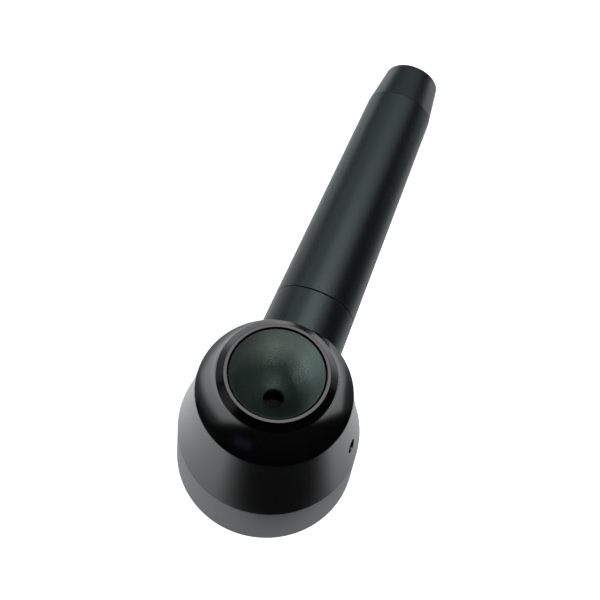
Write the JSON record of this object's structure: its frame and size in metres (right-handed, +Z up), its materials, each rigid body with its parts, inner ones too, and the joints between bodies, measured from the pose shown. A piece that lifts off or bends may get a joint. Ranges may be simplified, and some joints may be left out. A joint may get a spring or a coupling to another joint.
{
  "type": "hand-held keratoscope",
  "caption": "Hand-held eye instrument: bell-shaped head with a peephole eye cup on top, a lit ring cone in its wide mouth and a tapered battery handle at its side.",
  "frame": {"origin": "centre of the head axis in the plane of the base ring's foot", "axes": "+Z up along the head axis towards the eye cup, +Y along the handle towards its tail, +X to the side of the grub screw"},
  "size_m": [0.07, 0.1941, 0.0793],
  "materials": {
    "bell_black": "satin black anodised",
    "ring_grey": "bead-blasted dark grey anodised",
    "handle_black": "matte black anodised",
    "cup_black": "matte moulded black",
    "machined": "turned",
    "lens_glass": "polished",
    "cone_white": "opal translucent",
    "ring_ink": "matte black",
    "board_green": "solder mask",
    "lamp_yellow": "clear moulded",
    "steel": "plated",
    "black_steel": "black oxide",
    "brass": "plain",
    "seal_rubber": "matte",
    "wire_red": "extruded",
    "wire_black": "extruded",
    "insulator": "moulded",
    "cell_wrap": "printed film"
  },
  "bodies": {
    "head": {"base_ring": "ring_grey", "bell_body": "bell_black", "eyepiece_ring": "bell_black", "eye_cup": "cup_black", "lens_cell": "machined", "eyepiece_lens": "lens_glass", "lens_retainer": "machined", "optic_carrier": "machined", "lamp_board": "board_green", "lamps": "lamp_yellow", "board_screws": "steel", "ring_cone": "cone_white", "ring_bands": "ring_ink", "grub_screw": "black_steel", "base_seal": "seal_rubber", "feed_wire": "wire_red", "return_wire": "wire_black", "neck_collar": "handle_black", "snap_ring": "steel", "twist_seal": "seal_rubber", "contact_carrier": "insulator", "contact_pin": "brass", "switch_track": "board_green"},
    "handle": {"barrel": "handle_black", "cell_sleeve": "insulator", "cells": "cell_wrap", "wiper_ring": "brass"},
    "tail_contact": {"tail_contact": "steel", "tail_spring": "steel"},
    "tail_cap": {"tail_cap": "handle_black", "tail_seal": "seal_rubber"}
  },
  "joints": [
    {"name": "handle_twist", "type": "hinge", "parent": "head", "child": "handle", "pos_m": [0, 0.0431, 0.0482], "axis": [0, 1, 0], "range_deg": [0, 90]},
    {"name": "cap_travel", "type": "slide", "parent": "handle", "child": "tail_contact", "axis": [0, 1, 0], "range_m": [0, 0.003]},
    {"name": "cap_unscrew", "type": "hinge", "parent": "tail_contact", "child": "tail_cap", "pos_m": [0, 0.1415, 0.0482], "axis": [0, 1, 0], "range_deg": [0, 360]}
  ],
  "couplings": [
    {"joint": "cap_unscrew", "follows": "cap_travel", "rad_per_m": 2094}
  ]
}
